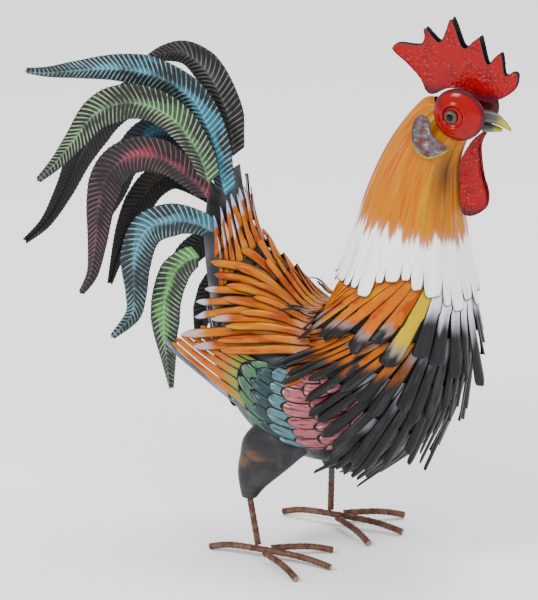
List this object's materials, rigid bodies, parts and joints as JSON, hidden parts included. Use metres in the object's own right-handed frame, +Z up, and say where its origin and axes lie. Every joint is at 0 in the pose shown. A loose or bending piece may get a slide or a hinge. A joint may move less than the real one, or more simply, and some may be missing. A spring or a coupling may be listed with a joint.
{
  "type": "metal rooster statue",
  "caption": "Standing rooster statue of painted sheet-metal feathers with a curved sickle tail, on two legs of ribbed bar with forward and rear toes.",
  "frame": {"origin": "on the ground, under the middle of the rooster's length and width", "axes": "+X the way the rooster faces, +Y its left side, +Z up"},
  "size_m": [0.5596, 0.211, 0.577],
  "materials": {
    "shoulder_feathers": "hand-brushed orange enamel over black, satin",
    "breast_feathers": "black enamel with pale dry-brushed upper ends, satin",
    "saddle_feathers": "orange enamel with pale tips, satin",
    "rump_feathers": "grey and white enamel, satin",
    "neck_feathers": "golden orange enamel streaked yellow, white lower band, gloss",
    "wing_feathers": "teal, green and pink enamel over embossed scales, black in the grooves",
    "tail_feathers": "gunmetal with teal, green and plum dry-brushed on the embossed ribs",
    "red_head": "glossy red enamel on hammered sheet",
    "ear_lobes": "grey-blue and brown enamel with a yellow-green rim",
    "eyes": "gloss black pupil in an amber-grey ring",
    "beak": "grey at its base to yellow at its tip, gloss",
    "thighs": "dark grey paint with rust patches",
    "ribbed_bar": "brown rusty ribbed bar",
    "body_paint": "grey satin paint"
  },
  "bodies": {
    "root": {"breast_collar_1": "shoulder_feathers", "breast_collar_2": "breast_feathers", "breast_collar_3": "breast_feathers", "breast_collar_4": "breast_feathers", "breast_collar_5": "breast_feathers", "head": "red_head", "left_comb_half": "red_head", "left_ear_lobe": "ear_lobes", "left_eye": "eyes", "left_face": "red_head", "left_inner_toe": "ribbed_bar", "left_middle_toe": "ribbed_bar", "left_outer_toe": "ribbed_bar", "left_shank": "ribbed_bar", "left_thigh": "thighs", "left_wattle": "red_head", "left_wing": "wing_feathers", "lower_beak": "beak", "neck": "neck_feathers", "right_comb_half": "red_head", "right_ear_lobe": "ear_lobes", "right_eye": "eyes", "right_face": "red_head", "right_inner_toe": "ribbed_bar", "right_middle_toe": "ribbed_bar", "right_outer_toe": "ribbed_bar", "right_shank": "ribbed_bar", "right_thigh": "thighs", "right_wattle": "red_head", "right_wing": "wing_feathers", "rump_skirt": "rump_feathers", "saddle_collar_1": "saddle_feathers", "saddle_collar_2": "saddle_feathers", "saddle_collar_3": "saddle_feathers", "sickle_blue": "tail_feathers", "sickle_brown": "tail_feathers", "sickle_crest": "tail_feathers", "sickle_far": "tail_feathers", "sickle_green": "tail_feathers", "sickle_last": "tail_feathers", "sickle_leaf": "tail_feathers", "sickle_low": "tail_feathers", "sickle_plum": "tail_feathers", "sickle_rear": "tail_feathers", "sickle_teal": "tail_feathers", "tail_collar_1": "saddle_feathers", "tail_collar_2": "saddle_feathers", "tail_root": "body_paint", "torso": "body_paint", "upper_beak": "beak"}
  },
  "joints": []
}
